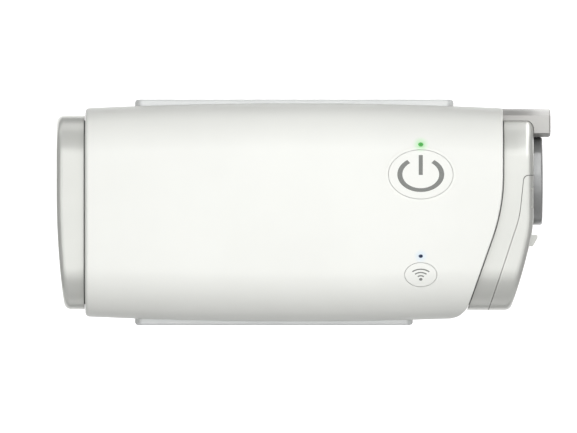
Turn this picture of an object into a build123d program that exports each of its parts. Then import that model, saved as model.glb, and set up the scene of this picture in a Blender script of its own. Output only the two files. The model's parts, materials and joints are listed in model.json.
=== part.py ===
from build123d import *
import os
from math import asin, cos, degrees, radians, sin, sqrt, tan

os.makedirs("parts", exist_ok=True)

# ---------------------------------------------------------------- driving dimensions (mm)
# The frame: X runs from the filter end to the air outlet, Y to the rear, Z up from the table.
overall_length = 181.65
overall_width = 83.1
overall_height = 52.0

# casing
pad_proud = 1.35                 # side pads beyond the casing
bow_rise = 1.85                  # how far the long sides bow outwards
shoulder_radius = 19.0
casing_wall = 2.2
casing_rim = 1.5                 # rounding at the filter end
seam_rim = 0.5                   # rounding along the seam
seam_corner = 8.0                # rounding of the seam's front corner, seen from above
split_gap = 0.2                  # between the upper and the lower half
foot_proud = 1.0

# seam between the casing and the outlet end
seam_bend_y = 13.8
seam_bend_radius = 70.0
seam_slant = 19.4
seam_gap = 0.45

# filter end
cover_depth = 10.05
cover_gap = 0.5
end_step = 4.0                   # both ends are this much lower than the casing
cover_side_step = 4.5            # and the cover is this much narrower at each side
cover_shoulder = 15.4
cover_wall = 1.8
cover_rim = 2.6
cover_bend_y = 8.0
cover_bend_radius = 320.0
vent_length = 46.0
vent_height = 2.2
vent_spacing = 4.2
vent_count = 7
filter_thickness = 4.0
seal_thickness = 1.0
neck_wall = 2.0
frame_plate = 2.0
grille_bars = 5
grille_bar_width = 1.6

# outlet end
outlet_depth = 11.25             # straight part of the seam to the end face
power_tip_proud = 6.35           # power inlet beyond the end face
cap_rear_step = 4.5              # sides of the outlet end inside the casing's
cap_front_step = 4.2
cap_shoulder = 15.5
cap_wall = 2.0
cap_rim = 2.8
cap_bend_y = -0.5
cap_bend_radius = 45.0
cap_bend_angle = 12.5
cap_sweep_radius = 215.0
panel_gap = 0.2
panel_top_y = 13.6
panel_inset = 3.55               # parting line behind the end face, at its rear corner
panel_corner_radius = 1.9
panel_knee_y = -1.6
panel_knee_shift = 1.6
panel_knee_radius = 35.0
panel_slant = 18.3
notch_spots = (8.7, 2.0)         # two small notches in the face panel's rim
notch_width = 1.0
notch_depth = 0.8
neck_reach = 6.0

# air outlet
outlet_bore_radius = 11.0        # takes a 22 mm cuff
outlet_bore_length = 19.0
outlet_wall = 2.0
seal_step = 0.5                  # seal's seat inside the bore
seal_width = 1.8
duct_extra = 3.3                 # air duct's radius beyond its half of the room below the board
duct_wall = 1.8
collar_radius = 16.2
collar_gap = 0.05                # between the collar and the power inlet
collar_proud = 3.45
collar_rim = 0.9
port_flange_radius = 14.6
port_flange = 2.0
port_seat_gap = 2.0
spigot_length = 18.5
bellows_wall = 1.2
bellows_overlap = 6.0            # on the spigot
fold_count = 7
mesh_cells = 4
mesh_open = 0.8                  # open share of each cell
tap_radius = 0.75
tap_setback = 9.0                # pressure tap before the port's flange
catch_gap = 3.6                  # from the collar
catch_width = 4.3
catch_height = 8.0
catch_proud = 1.75
catch_flat = 1.2
catch_slope = 1.8
catch_root = 6.0
catch_round = 0.4

# side pads
pad_start = 18.2                 # from the casing's filter end
rear_pad_stop = 18.0             # before the straight part of the seam
front_pad_stop = 33.0
pad_height = 16.0
pad_slope_length = 1.8           # the ends slope off above and below
pad_slope_height = 4.5
pad_corner = 2.0                 # rounding of the corners, seen from the side
pad_round = 1.2

# controls
controls_x_back = 30.25          # controls behind the straight part of the seam
power_button_inset = 26.3        # from the casing's rear side
power_button_size = (23.9, 18.2)
power_lamp_gap = 1.9             # between the button's rim and the lamp's middle
power_lamp_size = (1.9, 1.4)
power_travel = 0.6
dish_margin = 1.15
dish_depth = 0.35
connect_button_inset = 17.3      # from the casing's front side
connect_button_size = (12.0, 9.0)
connect_lamp_gap = 2.3
connect_lamp_size = (1.5, 1.2)
connect_travel = 0.5
button_gap = 0.15
button_flange = 0.8
flange_thickness = 1.2
guide_wall = 1.2
boss_drop = 0.6                  # button's boss below its flange

# main board
board_drop = 10.0                # board's top below the casing's top
board_thickness = 1.6
board_start = 21.0               # board's filter-side edge before the controls
board_length = 36.5
board_side_gap = 13.0            # board inside the casing's widest line
pillar_radius = 3.0
board_screw_radius = 1.0
switch_side = 6.2
switch_height = 2.6
stem_radius = 1.7
lamp_chip_size = (1.6, 0.8, 0.6)
lamp_pipe_gap = 0.4              # between a lamp and its light pipe
processor_size = (9.0, 9.0, 1.2)
driver_size = (5.0, 6.0, 1.0)
memory_size = (7.0, 5.0, 1.1)
chip_margin = 2.75               # processor from the board's filter-side edge
chip_gap = 2.0                   # between chips
radio_size = (12.0, 15.0, 2.2)
radio_round = 0.6
radio_gap = 0.5                  # between the radio module and the front pillars
capacitor_radius = 3.1
capacitor_height = 7.0
capacitor_spacing = 9.0
capacitor_inset = 9.2            # from the front pillars
plug_size = (5.0, 8.0, 3.0)
power_plug_x = 6.0               # plugs from the board's middle
motor_plug_x = -14.0
sensor_side = 5.0
sensor_seal_radius = 2.0
sensor_seal_height = 0.8

# blower
blower_x_in = 58.0               # blower axis behind the casing's filter end
volute_room = 9.5                # between the scroll's front and the casing's wall
scroll_growth = 2.2              # for each quarter turn
tube_reach = 9.0                 # outlet tube beyond the chamber
impeller_gap = 3.0
blade_count = 9
blade_height = 11.0
blade_reach = 1.1                # blade's tip inside the impeller's edge
blade_root = 1.0                 # blade's start inside the hub
hub_radius = 4.0
impeller_plate = 1.2
shaft_radius = 1.5
bearing_radius = 4.0
bearing_height = 2.2
magnet_radius = 4.4
stator_radius = 13.0
stator_lift = 1.2                # above the lower bearing
stator_headroom = 0.7            # below the upper bearing
tooth_count = 6
motor_wall = 1.4
motor_floor_gap = 0.5
motor_board_thickness = 0.8
lead_opening = 8.0
ear_radius = 3.0
eye_inset = 6.0                  # inlet eye inside the impeller's edge
mount_radius = 4.0
mount_waist = 1.0                # middle of a mount inside its ends

# muffler
muffler_length = 18.6
muffler_boss_gap = 1.6
muffler_wall = 1.5
muffler_margin = 3.0

# fasteners and feet
screw_radius = 1.25
screw_head_radius = 2.4
boss_radius = 3.4
screw_inset_y = 9.2              # from the casing's sides
screw_x_first = 14.0             # from the casing's filter end
screw_blower_gap = 15.0          # second pair beyond the blower's chamber
foot_radius = 5.5
foot_recess = 0.8
foot_y = 14.0
foot_x_first = 20.0
foot_seam_gap = 33.6             # second pair before the seam

# power inlet
power_height = 27.8
power_side_step = 2.1            # its rear side inside the casing's
power_block_width = 10.35
power_facet_slant = 1.6          # upper facet of the rear edges
power_slant_drop = 3.1
power_facet_steep = 0.9          # lower facet, steeper
power_steep_drop = 3.5
power_front_slant = 1.4          # single facet of the front edges
power_front_drop = 2.8
power_groove = 0.15              # between the housing and the outlet end
power_rim = 0.8
power_slot_width = 7.0
power_slot_height = 13.0
power_slot_round = 1.0
slot_floor_depth = 1.6           # socket's floor beyond the end face
contact_radius = 1.1
contact_spacing = 4.0
contact_proud = 0.3
tail_inset = 1.8                 # tail of the socket from the block's front side
tail_width = 1.4
terminal_depth = 1.8
lead_radius = 1.2
lead_bend = 5.0
lead_run = 14.0                  # where the power lead leaves its straight run
lead_rise = 4.0
flat_lead_thickness = 0.4
flat_lead_width = 6.0
flat_lead_run = 8.0

# fits
fit = 0.1                        # pieces that are pushed together
running = 0.02                   # shaft in its bearings
clear = 0.3                      # pieces that pass each other
cut_over = 1.0                   # cuts past the faces they open

# ---------------------------------------------------------------- places that follow
cover_face_x = -overall_length / 2
casing_left_x = cover_face_x + cover_depth + cover_gap
cap_face_x = overall_length / 2 - power_tip_proud
seam_x = cap_face_x - outlet_depth
casing_length = seam_x - casing_left_x
casing_half_width = overall_width / 2 - pad_proud
casing_height = overall_height - foot_proud
middle_z = foot_proud + casing_height / 2
end_low_z = foot_proud + end_step
end_high_z = overall_height - end_step
floor_z = foot_proud + casing_wall
far = 2 * overall_length

cover_half_width = casing_half_width - cover_side_step
cap_rear_y = casing_half_width - cap_rear_step
cap_front_y = cap_front_step - casing_half_width

power_rear_y = casing_half_width - power_side_step
power_block_y = power_rear_y - power_block_width
outlet_y = power_block_y - collar_gap - collar_radius
outlet_tip_x = cap_face_x + collar_proud
catch_high_y = outlet_y - collar_radius - catch_gap
board_room = casing_height / 2 - board_drop - board_thickness
duct_radius = (board_room + duct_extra) / 2

controls_x = seam_x - controls_x_back
power_button_y = casing_half_width - power_button_inset
power_lamp_y = power_button_y + power_button_size[1] / 2 + power_lamp_gap
connect_button_y = connect_button_inset - casing_half_width
connect_lamp_y = connect_button_y + connect_button_size[1] / 2 + connect_lamp_gap
board_top_z = overall_height - board_drop
board_low_z = board_top_z - board_thickness
board_width = 2 * (casing_half_width - board_side_gap)
board_x = controls_x - board_start + board_length / 2

scroll_room = outlet_y + duct_radius + casing_half_width - casing_wall - volute_room
scroll_start = (scroll_room - 3 * scroll_growth) / 2
blower_x = casing_left_x + blower_x_in
blower_y = outlet_y + duct_radius - scroll_start - 3 * scroll_growth
chamber_end_x = blower_x + scroll_start + duct_wall
impeller_radius = scroll_start - impeller_gap
inlet_eye_radius = impeller_radius - eye_inset

screw_y = casing_half_width - screw_inset_y
muffler_half_width = screw_y - boss_radius - muffler_boss_gap


# ---------------------------------------------------------------- shared shapes
def draw_seam(shift):
    # closed line round everything on the filter side of the seam
    straight = Line((seam_x + shift, far), (seam_x + shift, seam_bend_y))
    bend = JernArc(straight @ 1, straight % 1, radius=seam_bend_radius, arc_size=-seam_slant)
    low_x = (bend @ 1).X - ((bend @ 1).Y + far) * tan(radians(seam_slant))
    Polyline(bend @ 1, (low_x, -far), (-far, -far), (-far, far), straight @ 0)


def outer_rim(faces):
    # edges that only one of the given faces has
    found = [edge for face in faces for edge in face.edges()]
    return [edge for edge in found if sum(edge.is_same(other) for other in found) == 1]


def casing_block(inset, left_rim=0.0, right_rim=0.0):
    # the casing's outer form, or the same form smaller all round
    half = casing_half_width - inset
    left = casing_left_x + inset
    mid_x = casing_left_x + casing_length / 2
    with BuildPart() as block:
        with BuildSketch(Plane.XY.offset(foot_proud + inset)) as plan:
            with BuildLine():
                end_y = half - bow_rise
                rear = ThreePointArc((casing_left_x, end_y), (mid_x, half), (seam_x, end_y))
                front = ThreePointArc((casing_left_x, -end_y), (mid_x, -half), (seam_x, -end_y))
                Line(rear @ 0, front @ 0)
                Line(rear @ 1, front @ 1)
            make_face()
            with BuildLine():
                draw_seam(-inset)
            make_face(mode=Mode.INTERSECT)
            with Locations(((left + far) / 2, 0)):
                Rectangle(far - left, far, mode=Mode.INTERSECT)
        extrude(amount=casing_height - 2 * inset)
        long_edges = block.edges().filter_by(GeomType.CIRCLE).filter_by(lambda e: e.radius > overall_length)
        fillet(long_edges, radius=shoulder_radius - inset)
        if left_rim:
            fillet(block.faces().sort_by(Axis.X)[0].edges(), radius=left_rim)
            seam_faces = block.faces().filter_by(lambda f: f.normal_at().X > 0.7)
            fillet(outer_rim(seam_faces), radius=right_rim)
            # rounding of the seam's front corner
            with BuildSketch(Plane.XY.offset(foot_proud)) as rounded:
                add(plan.sketch_local)
                fillet(rounded.vertices().sort_by(Axis.Y)[0], radius=seam_corner)
            extrude(amount=casing_height, mode=Mode.INTERSECT)
    return block.part


def cap_block(inset, shift, rim=0.0):
    # the outlet end's outer form, from the shifted seam to the end face
    with BuildPart() as block:
        with BuildSketch(Plane.XY.offset(end_low_z + inset)):
            with BuildLine():
                face = Line((cap_face_x - inset, cap_rear_y - inset), (cap_face_x - inset, cap_bend_y))
                bend = JernArc(face @ 1, face % 1, radius=cap_bend_radius, arc_size=-cap_bend_angle)
                drop = ((bend @ 1).Y - cap_front_y - inset) / cap_sweep_radius
                end_angle = degrees(asin(sin(radians(cap_bend_angle)) + drop))
                swept = JernArc(bend @ 1, bend % 1, radius=cap_sweep_radius,
                                arc_size=cap_bend_angle - end_angle)
                Polyline(swept @ 1, (0, cap_front_y + inset), (0, cap_rear_y - inset), face @ 0)
            make_face()
            with BuildLine():
                draw_seam(shift)
            make_face(mode=Mode.SUBTRACT)
        extrude(amount=end_high_z - end_low_z - 2 * inset)
        fillet(block.edges().filter_by(Axis.X), radius=cap_shoulder - inset)
        if rim:
            end_faces = block.faces().filter_by(lambda f: f.normal_at().X > 0.7)
            fillet(outer_rim(end_faces), radius=rim)
    return block.part


def cover_block(inset, reach, rim=0.0):
    # the filter cover's outer form; reach moves its open side
    half = cover_half_width - inset
    with BuildPart() as block:
        with BuildSketch(Plane.XY.offset(end_low_z + inset)):
            with BuildLine():
                face = Line((cover_face_x + inset, half), (cover_face_x + inset, cover_bend_y))
                turn = degrees(asin((cover_bend_y + half) / cover_bend_radius))
                swept = JernArc(face @ 1, face % 1, radius=cover_bend_radius, arc_size=turn)
                open_x = cover_face_x + cover_depth + reach
                Polyline(swept @ 1, (open_x, -half), (open_x, half), face @ 0)
            make_face()
        extrude(amount=end_high_z - end_low_z - 2 * inset)
        fillet(block.edges().filter_by(Axis.X), radius=cover_shoulder - inset)
        if rim:
            end_faces = block.faces().filter_by(lambda f: f.normal_at().X < -0.7)
            fillet(outer_rim(end_faces), radius=rim)
    return block.part


def seam_prism(shift):
    # everything on the filter side of the shifted seam
    with BuildPart() as prism:
        with BuildSketch(Plane.XY.offset(-overall_height)):
            with BuildLine():
                draw_seam(shift)
            make_face()
        extrude(amount=3 * overall_height)
    return prism.part


def button_prism(y, size, margin, low_z, high_z):
    # upright oval column at a control
    with BuildPart() as prism:
        with BuildSketch(Plane.XY.offset(low_z)):
            with Locations((controls_x, y)):
                Ellipse(size[0] / 2 + margin, size[1] / 2 + margin)
        extrude(amount=high_z - low_z)
    return prism.part


casing_outer = casing_block(0, casing_rim, seam_rim)
casing_inner = casing_block(casing_wall)
cap_outer = cap_block(0, seam_gap, cap_rim)
cap_inner = cap_block(cap_wall, seam_gap - cap_wall)

cover_outer = cover_block(0, 0, cover_rim)
cover_inner = cover_block(cover_wall, cover_depth)

# spots that several pieces share
screw_places = (casing_left_x + screw_x_first, chamber_end_x + screw_blower_gap)
screw_spots = [(x, side * screw_y) for x in screw_places for side in (-1, 1)]
foot_places = (casing_left_x + foot_x_first, seam_x - foot_seam_gap)
foot_spots = [(x, side * foot_y) for x in foot_places for side in (-1, 1)]
pillar_x = board_length / 2 - pillar_radius
pillar_y = board_width / 2 - pillar_radius
pillar_spots = [(board_x + i * pillar_x, j * pillar_y) for i in (-1, 1) for j in (-1, 1)]
control_faces = [
    (power_button_y, power_button_size, power_travel),
    (connect_button_y, connect_button_size, connect_travel),
]
lamp_faces = [
    (power_lamp_y, power_lamp_size),
    (connect_lamp_y, connect_lamp_size),
]


def roof_z(y):
    # underside of the casing's roof at a distance from the middle
    over = max(0.0, abs(y) - (casing_half_width - bow_rise - shoulder_radius))
    inner = shoulder_radius - casing_wall
    return overall_height - shoulder_radius + sqrt(inner**2 - over**2)


def flange_top(y, size):
    return roof_z(abs(y) + size[1] / 2 + button_flange) - fit


# ---------------------------------------------------------------- casing
with BuildPart() as casing_shell:
    add(casing_outer)
    add(casing_inner, mode=Mode.SUBTRACT)
    # window for the filter end's neck
    neck_half = cover_half_width - cover_wall - fit
    neck_tall = (end_high_z - end_low_z) / 2 - cover_wall - fit
    neck_round = cover_shoulder - cover_wall - fit
    with BuildSketch(Plane.YZ.offset(casing_left_x - casing_wall)):
        with Locations((0, middle_z)):
            RectangleRounded(2 * (neck_half + fit), 2 * (neck_tall + fit), neck_round + fit)
    extrude(amount=3 * casing_wall, mode=Mode.SUBTRACT)
    # window for the outlet end's neck
    add(cap_block(cap_wall, -3 * casing_wall), mode=Mode.SUBTRACT)

with BuildPart() as upper_shell:
    with BuildSketch(Plane.XY.offset(middle_z)):
        with Locations(*screw_spots):
            Circle(boss_radius)
    extrude(amount=casing_height)
    with BuildSketch(Plane.XY.offset(board_top_z)):
        with Locations(*pillar_spots):
            Circle(pillar_radius)
    extrude(amount=casing_height)
    for y, size, travel in control_faces:
        rim_z = flange_top(y, size) - flange_thickness - travel
        add(button_prism(y, size, button_flange + clear + guide_wall, rim_z, overall_height))
        well = button_prism(y, size, button_flange + clear, rim_z - cut_over, overall_height)
        add(well, mode=Mode.SUBTRACT)
    add(casing_outer, mode=Mode.INTERSECT)
    add(casing_shell.part)
    # openings for the buttons and the lamps, and the dish round the power button
    for y, size, travel in control_faces:
        add(button_prism(y, size, 0, middle_z, far), mode=Mode.SUBTRACT)
    for y, size in lamp_faces:
        add(button_prism(y, size, fit / 2, middle_z, far), mode=Mode.SUBTRACT)
    # pilot holes for the screws
    with BuildSketch(Plane.XY.offset(middle_z)):
        with Locations(*screw_spots):
            Circle(screw_radius)
    extrude(amount=shoulder_radius - 2 * casing_wall, mode=Mode.SUBTRACT)
    with BuildSketch(Plane.XY.offset(board_top_z)):
        with Locations(*pillar_spots):
            Circle(board_screw_radius)
    extrude(amount=pillar_radius + casing_wall, mode=Mode.SUBTRACT)
    split(bisect_by=Plane.XY.offset(middle_z + split_gap / 2), keep=Keep.TOP)

with BuildPart() as dish:
    add(button_prism(power_button_y, power_button_size, dish_margin, middle_z, far))
    add(casing_block(dish_depth), mode=Mode.SUBTRACT)

with BuildPart() as upper_casing:
    add(upper_shell.part)
    add(dish.part, mode=Mode.SUBTRACT)
upper_casing.part.label = "upper_casing"
export_step(upper_casing.part, "parts/upper_casing.step")

screw_seat_z = foot_proud + shoulder_radius / 2
with BuildPart() as lower_casing:
    with BuildSketch():
        with Locations(*screw_spots):
            Circle(boss_radius)
    extrude(amount=middle_z)
    add(casing_outer, mode=Mode.INTERSECT)
    add(casing_shell.part)
    with BuildSketch():
        with Locations(*screw_spots):
            Circle(screw_head_radius + fit)
    extrude(amount=screw_seat_z, mode=Mode.SUBTRACT)
    with BuildSketch():
        with Locations(*screw_spots):
            Circle(screw_radius + fit)
    extrude(amount=middle_z + cut_over, mode=Mode.SUBTRACT)
    with BuildSketch(Plane.XY.offset(foot_proud)):
        with Locations(*foot_spots):
            Circle(foot_radius + fit)
    extrude(amount=foot_recess, mode=Mode.SUBTRACT)
    split(bisect_by=Plane.XY.offset(middle_z - split_gap / 2), keep=Keep.BOTTOM)
lower_casing.part.label = "lower_casing"
export_step(lower_casing.part, "parts/lower_casing.step")

with BuildPart() as casing_screws:
    with BuildSketch(Plane.XY.offset(screw_seat_z)):
        with Locations(*screw_spots):
            Circle(screw_radius)
    extrude(amount=middle_z - screw_seat_z + shoulder_radius / 2)
    with BuildSketch(Plane.XY.offset(screw_seat_z)):
        with Locations(*screw_spots):
            Circle(screw_head_radius)
            RegularPolygon(screw_radius, 6, mode=Mode.SUBTRACT)
    extrude(amount=-screw_head_radius)
    with BuildSketch(Plane.XY.offset(screw_seat_z)):
        with Locations(*screw_spots):
            Circle(screw_head_radius)
    extrude(amount=-screw_radius)
casing_screws.part.label = "casing_screws"
export_step(casing_screws.part, "parts/casing_screws.step")

with BuildPart() as rubber_feet:
    with BuildSketch():
        with Locations(*foot_spots):
            Circle(foot_radius)
    extrude(amount=foot_proud + foot_recess)
    chamfer(rubber_feet.edges().group_by(Axis.Z)[0], length=foot_proud / 3)
rubber_feet.part.label = "rubber_feet"
export_step(rubber_feet.part, "parts/rubber_feet.step")


# ---------------------------------------------------------------- side pads
def side_pad(side, stop):
    start_x = casing_left_x + pad_start
    end_x = seam_x - stop
    inner_y = casing_half_width - 2 * bow_rise - casing_wall
    with BuildPart() as pad:
        with BuildSketch(Plane.XZ.offset(-side * (overall_width / 2 + inner_y) / 2)) as outline:
            with Locations(((start_x + end_x) / 2, middle_z)):
                Rectangle(end_x - start_x, pad_height - 2 * pad_slope_height)
                Rectangle(end_x - start_x - 2 * pad_slope_length, pad_height)
            make_hull()
            fillet(outline.vertices(), radius=pad_corner)
        extrude(amount=(overall_width / 2 - inner_y) / 2, both=True)
        outer_face = pad.faces().sort_by(Axis.Y)[-1 if side > 0 else 0]
        fillet(outer_face.edges(), radius=pad_round)
        add(casing_outer, mode=Mode.SUBTRACT)
    return pad.part


with BuildPart() as rear_side_pad:
    add(side_pad(1, rear_pad_stop))
rear_side_pad.part.label = "rear_side_pad"
export_step(rear_side_pad.part, "parts/rear_side_pad.step")

with BuildPart() as front_side_pad:
    add(side_pad(-1, front_pad_stop))
front_side_pad.part.label = "front_side_pad"
export_step(front_side_pad.part, "parts/front_side_pad.step")

# ---------------------------------------------------------------- filter end
plate_x = casing_left_x + casing_wall + fit
filter_back_x = cover_face_x + cover_wall + fit + filter_thickness
neck_tip_x = filter_back_x + clear + seal_thickness
neck_opening = (2 * (neck_half - neck_wall), 2 * (neck_tall - neck_wall), neck_round - neck_wall)
with BuildPart() as inlet_frame:
    # flange behind the casing's end wall
    add(casing_block(casing_wall + fit))
    with Locations((plate_x + frame_plate + far / 2, 0, 0)):
        Box(far, far, far, mode=Mode.SUBTRACT)
    # neck that carries the filter cover
    with BuildSketch(Plane.YZ.offset(neck_tip_x)):
        with Locations((0, middle_z)):
            RectangleRounded(2 * neck_half, 2 * neck_tall, neck_round)
    extrude(amount=plate_x - neck_tip_x + frame_plate / 2)
    with BuildSketch(Plane.YZ.offset(neck_tip_x)):
        with Locations((0, middle_z)):
            RectangleRounded(*neck_opening)
    extrude(amount=plate_x - neck_tip_x + 2 * frame_plate, mode=Mode.SUBTRACT)
    # upright bars across the opening
    bar_pitch = 2 * (neck_half - neck_wall) / (grille_bars + 1)
    with BuildSketch(Plane.YZ.offset(plate_x)):
        with Locations((0, middle_z)):
            with GridLocations(bar_pitch, 0, grille_bars, 1):
                Rectangle(grille_bar_width, 2 * (neck_tall - neck_wall / 2))
    extrude(amount=frame_plate)
inlet_frame.part.label = "inlet_frame"
export_step(inlet_frame.part, "parts/inlet_frame.step")

with BuildPart() as filter_seal:
    with BuildSketch(Plane.YZ.offset(neck_tip_x - seal_thickness)):
        with Locations((0, middle_z)):
            RectangleRounded(2 * neck_half, 2 * neck_tall, neck_round)
            RectangleRounded(*neck_opening, mode=Mode.SUBTRACT)
    extrude(amount=seal_thickness)
filter_seal.part.label = "filter_seal"
export_step(filter_seal.part, "parts/filter_seal.step")

with BuildPart() as air_filter:
    add(cover_block(cover_wall + fit, 0))
    with Locations((filter_back_x + far / 2, 0, 0)):
        Box(far, far, far, mode=Mode.SUBTRACT)
air_filter.part.label = "air_filter"
export_step(air_filter.part, "parts/air_filter.step")

with BuildPart() as filter_cover:
    add(cover_outer)
    add(cover_inner, mode=Mode.SUBTRACT)
    with BuildSketch(Plane.YZ.offset(cover_face_x - cover_wall)):
        with Locations((0, middle_z)):
            with GridLocations(0, vent_spacing, 1, vent_count):
                SlotOverall(vent_length, vent_height)
    extrude(amount=4 * cover_wall, mode=Mode.SUBTRACT)
filter_cover.part.label = "filter_cover"
export_step(filter_cover.part, "parts/filter_cover.step")

# ---------------------------------------------------------------- muffler
muffler_x = plate_x + frame_plate
muffler_tall = casing_height / 2 - casing_wall - muffler_margin
with BuildPart() as inlet_muffler:
    with Locations((muffler_x + muffler_length / 2, 0, middle_z)):
        Box(muffler_length, 2 * muffler_half_width, 2 * muffler_tall)
    fillet(inlet_muffler.edges().filter_by(Axis.X), radius=2 * muffler_margin)
    offset(amount=-muffler_wall, openings=inlet_muffler.faces().sort_by(Axis.X)[0])
    with BuildSketch(Plane.YZ.offset(muffler_x)):
        with Locations((0, middle_z)):
            Circle(inlet_eye_radius)
    extrude(amount=muffler_length, mode=Mode.SUBTRACT)
inlet_muffler.part.label = "inlet_muffler"
export_step(inlet_muffler.part, "parts/inlet_muffler.step")

with BuildPart() as muffler_foam:
    foam_length = muffler_length - muffler_wall - 2 * fit
    foam_half_width = muffler_half_width - muffler_wall - fit
    foam_tall = muffler_tall - muffler_wall - fit
    with Locations((muffler_x + fit + foam_length / 2, 0, middle_z)):
        Box(foam_length, 2 * foam_half_width, 2 * foam_tall)
    fillet(muffler_foam.edges().filter_by(Axis.X), radius=2 * muffler_margin - muffler_wall)
    with BuildSketch(Plane.YZ.offset(muffler_x)):
        with Locations((0, middle_z)):
            Circle(inlet_eye_radius)
    extrude(amount=muffler_length, mode=Mode.SUBTRACT)
muffler_foam.part.label = "muffler_foam"
export_step(muffler_foam.part, "parts/muffler_foam.step")

# ---------------------------------------------------------------- blower
tube_end_x = chamber_end_x + duct_wall + tube_reach
floor_low_z = middle_z - duct_radius - duct_wall
scroll_arcs = [
    ((blower_x, blower_y), scroll_start, -45),
    ((blower_x, blower_y + scroll_growth), scroll_start + scroll_growth, -135),
    ((blower_x + scroll_growth, blower_y + scroll_growth), scroll_start + 2 * scroll_growth, 135),
]
ear_reach = duct_wall + 2 * board_screw_radius + 2 * fit
ear_spots = [
    (c[0] + (r + ear_reach) * cos(radians(a)), c[1] + (r + ear_reach) * sin(radians(a)))
    for c, r, a in scroll_arcs
]


def scroll_block(grow, low_z, high_z):
    # snail-shaped chamber; grow makes its outline larger all round
    top_y = outlet_y + duct_radius
    low_y = outlet_y - duct_radius
    tongue = asin((low_y - blower_y) / scroll_start)
    with BuildPart() as block:
        with BuildSketch(Plane.XY.offset(low_z)):
            with BuildLine():
                lip = (blower_x + scroll_start * cos(tongue), low_y)
                turn = -90 - degrees(tongue)
                first = CenterArc(scroll_arcs[0][0], scroll_arcs[0][1], degrees(tongue), turn)
                second = CenterArc(scroll_arcs[1][0], scroll_arcs[1][1], -90, -90)
                third = CenterArc(scroll_arcs[2][0], scroll_arcs[2][1], 180, -90)
                Polyline(third @ 1, (chamber_end_x, top_y), (chamber_end_x, low_y), lip)
            make_face()
            if grow:
                offset(amount=grow, kind=Kind.INTERSECTION)
        extrude(amount=high_z - low_z)
    return block.part


def blower_disc(radius, low_z, high_z, bore=0.0):
    with BuildPart() as disc:
        with BuildSketch(Plane.XY.offset(low_z)):
            with Locations((blower_x, blower_y)):
                Circle(radius)
                if bore:
                    Circle(bore, mode=Mode.SUBTRACT)
        extrude(amount=high_z - low_z)
    return disc.part


def duct_round(radius, start_x, end_x):
    with BuildPart() as tube:
        with BuildSketch(Plane.YZ.offset(start_x)):
            with Locations((outlet_y, middle_z)):
                Circle(radius)
        extrude(amount=end_x - start_x)
    return tube.part


motor_low_z = floor_z + motor_floor_gap + motor_wall
motor_radius = stator_radius + motor_wall + clear
lower_bearing_z = motor_low_z + motor_wall
upper_bearing_z = floor_low_z - bearing_height + duct_wall / 2
stator_low_z = lower_bearing_z + bearing_height + stator_lift
stator_height = upper_bearing_z - stator_low_z - stator_headroom
volute_inner = scroll_block(0, middle_z - duct_radius, middle_z + duct_radius)

with BuildPart() as volute_shell:
    add(scroll_block(duct_wall, floor_low_z, middle_z + duct_radius + duct_wall))
    add(duct_round(duct_radius + duct_wall, chamber_end_x, tube_end_x))
    add(volute_inner, mode=Mode.SUBTRACT)
    add(duct_round(duct_radius, chamber_end_x - duct_wall, tube_end_x), mode=Mode.SUBTRACT)

with BuildPart() as volute_lower:
    add(volute_shell.part)
    with BuildSketch(Plane.XY.offset(middle_z - 2 * duct_wall)):
        with Locations(*ear_spots):
            Circle(ear_radius)
    extrude(amount=2 * duct_wall)
    # motor skirt and the seat of the upper bearing
    add(blower_disc(motor_radius, motor_low_z, floor_low_z, motor_radius - motor_wall))
    add(blower_disc(bearing_radius + motor_wall, upper_bearing_z, floor_low_z))
    seat_top_z = upper_bearing_z + bearing_height
    add(blower_disc(bearing_radius, upper_bearing_z - cut_over, seat_top_z), mode=Mode.SUBTRACT)
    add(blower_disc(shaft_radius + clear, floor_low_z, middle_z), mode=Mode.SUBTRACT)
    with BuildSketch(Plane.XY.offset(middle_z)):
        with Locations(*ear_spots):
            Circle(board_screw_radius)
    extrude(amount=-2 * duct_wall, mode=Mode.SUBTRACT)
    # opening for the motor's flat lead
    with Locations((blower_x + motor_radius, blower_y, motor_low_z + motor_wall)):
        Box(4 * motor_wall, lead_opening, 4 * motor_wall, mode=Mode.SUBTRACT)
    split(bisect_by=Plane.XY.offset(middle_z), keep=Keep.BOTTOM)
volute_lower.part.label = "volute_lower"
export_step(volute_lower.part, "parts/volute_lower.step")

with BuildPart() as volute_upper:
    add(volute_shell.part)
    with BuildSketch(Plane.XY.offset(middle_z)):
        with Locations(*ear_spots):
            Circle(ear_radius)
    extrude(amount=2 * duct_wall)
    eye_top_z = middle_z + duct_radius + 2 * duct_wall
    add(blower_disc(inlet_eye_radius + duct_wall, middle_z + duct_radius, eye_top_z))
    eye = blower_disc(inlet_eye_radius, middle_z + duct_radius - cut_over, eye_top_z + cut_over)
    add(eye, mode=Mode.SUBTRACT)
    with BuildSketch(Plane.XY.offset(middle_z)):
        with Locations(*ear_spots):
            Circle(board_screw_radius + fit)
    extrude(amount=3 * duct_wall, mode=Mode.SUBTRACT)
    split(bisect_by=Plane.XY.offset(middle_z), keep=Keep.TOP)
volute_upper.part.label = "volute_upper"
export_step(volute_upper.part, "parts/volute_upper.step")

with BuildPart() as volute_screws:
    with BuildSketch(Plane.XY.offset(middle_z + 2 * duct_wall)):
        with Locations(*ear_spots):
            Circle(2 * board_screw_radius)
    extrude(amount=board_screw_radius)
    with BuildSketch(Plane.XY.offset(middle_z + 2 * duct_wall)):
        with Locations(*ear_spots):
            Circle(board_screw_radius)
    extrude(amount=-4 * duct_wall + 2 * fit)
volute_screws.part.label = "volute_screws"
export_step(volute_screws.part, "parts/volute_screws.step")

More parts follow.
